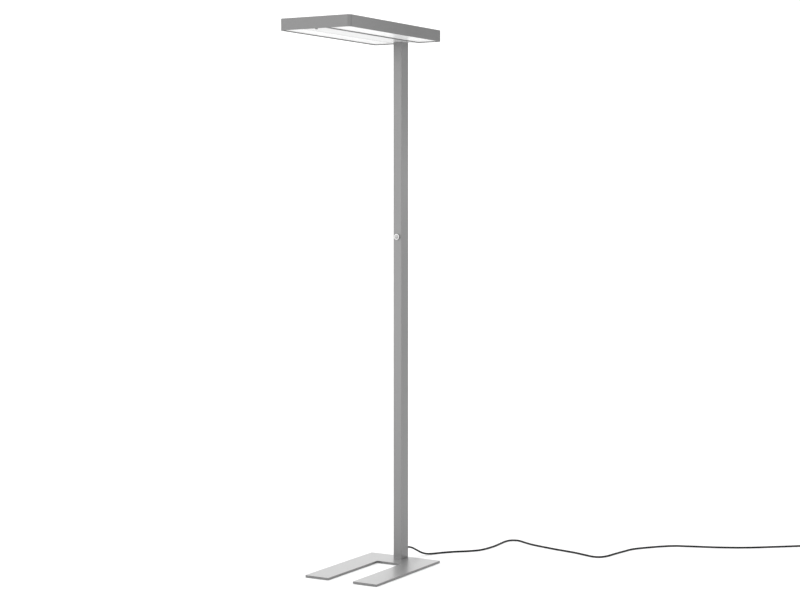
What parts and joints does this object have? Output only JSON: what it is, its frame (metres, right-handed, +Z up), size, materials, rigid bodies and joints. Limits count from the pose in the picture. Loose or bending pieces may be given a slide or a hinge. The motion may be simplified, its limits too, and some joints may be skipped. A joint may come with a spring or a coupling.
{
  "type": "office floor lamp",
  "caption": "Free-standing office lamp: flat U-shaped base, slim rectangular column with push button, and a flat two-armed head that lights down and up.",
  "frame": {"origin": "on the floor, under the axis of the column", "axes": "+Z up along the column; the head and the legs of the base reach towards -Y, which is the lamp's front; +X is to the right when facing +Y"},
  "size_m": [1.5882, 1.67, 1.985],
  "materials": {
    "graphite_steel": "satin grey powder coat on steel plate",
    "grey_aluminium": "fine matt grey powder coat on aluminium",
    "opal_diffuser": "opal satin acrylic",
    "white_cover": "smooth white acrylic",
    "bright_metal": "turned bright aluminium",
    "steel": "zinc-plated steel",
    "bare_aluminium": "bare aluminium sheet",
    "brass": "plain brass",
    "black_plastic": "moulded black plastic",
    "black_lens": "dark glossy lens",
    "cord_black": "satin black PVC sheath",
    "white_plastic": "moulded white plastic",
    "glide_rubber": "hard black rubber",
    "board_white": "white-lacquered circuit board",
    "wire_brown": "brown wire insulation",
    "wire_blue": "blue wire insulation",
    "wire_green": "green wire insulation"
  },
  "bodies": {
    "lamp": {"base_plate": "graphite_steel", "base_glides": "glide_rubber", "column_screws": "steel", "column_tube": "grey_aluminium", "button_bezel": "bright_metal", "button_nut": "steel", "button_spring": "steel", "contact_block": "black_plastic", "fixed_contacts": "brass", "switch_wires": "white_plastic", "cord_relief": "black_plastic", "cord_clamp": "white_plastic", "cord_sheath": "cord_black", "wire_live": "wire_brown", "wire_neutral": "wire_blue", "wire_earth": "wire_green", "mains_cord": "cord_black", "cord_coil": "cord_black", "cord_ties": "black_plastic", "cord_tail": "cord_black", "plug_body": "black_plastic", "plug_pins": "steel", "plug_earth": "steel", "head_bracket": "steel", "bracket_screws": "steel", "head_screws": "steel", "head_frame": "grey_aluminium", "middle_cover": "white_cover", "top_cover": "grey_aluminium", "cover_screws": "steel", "uplight_panel_left": "opal_diffuser", "uplight_panel_right": "opal_diffuser", "diffuser_left": "opal_diffuser", "diffuser_right": "opal_diffuser", "led_tray_left": "bare_aluminium", "led_tray_right": "bare_aluminium", "downlight_board_left": "board_white", "downlight_board_right": "board_white", "uplight_board_left": "board_white", "uplight_board_right": "board_white", "board_wires": "white_plastic", "gear_tray": "steel", "led_driver": "white_plastic", "driver_screws": "steel", "terminal_block": "white_plastic", "driver_wires": "black_plastic", "sensor_body": "black_plastic", "sensor_lens": "black_lens"},
    "button": {"button_cap": "bright_metal", "button_clip": "steel", "contact_bridge": "brass"}
  },
  "joints": [
    {"name": "button_press", "type": "slide", "parent": "lamp", "child": "button", "axis": [0, 1, 0], "range_m": [0, 0.0018], "stiffness_N_per_m": 600, "springref_m": -0.002, "deforming": ["button_spring"]}
  ]
}
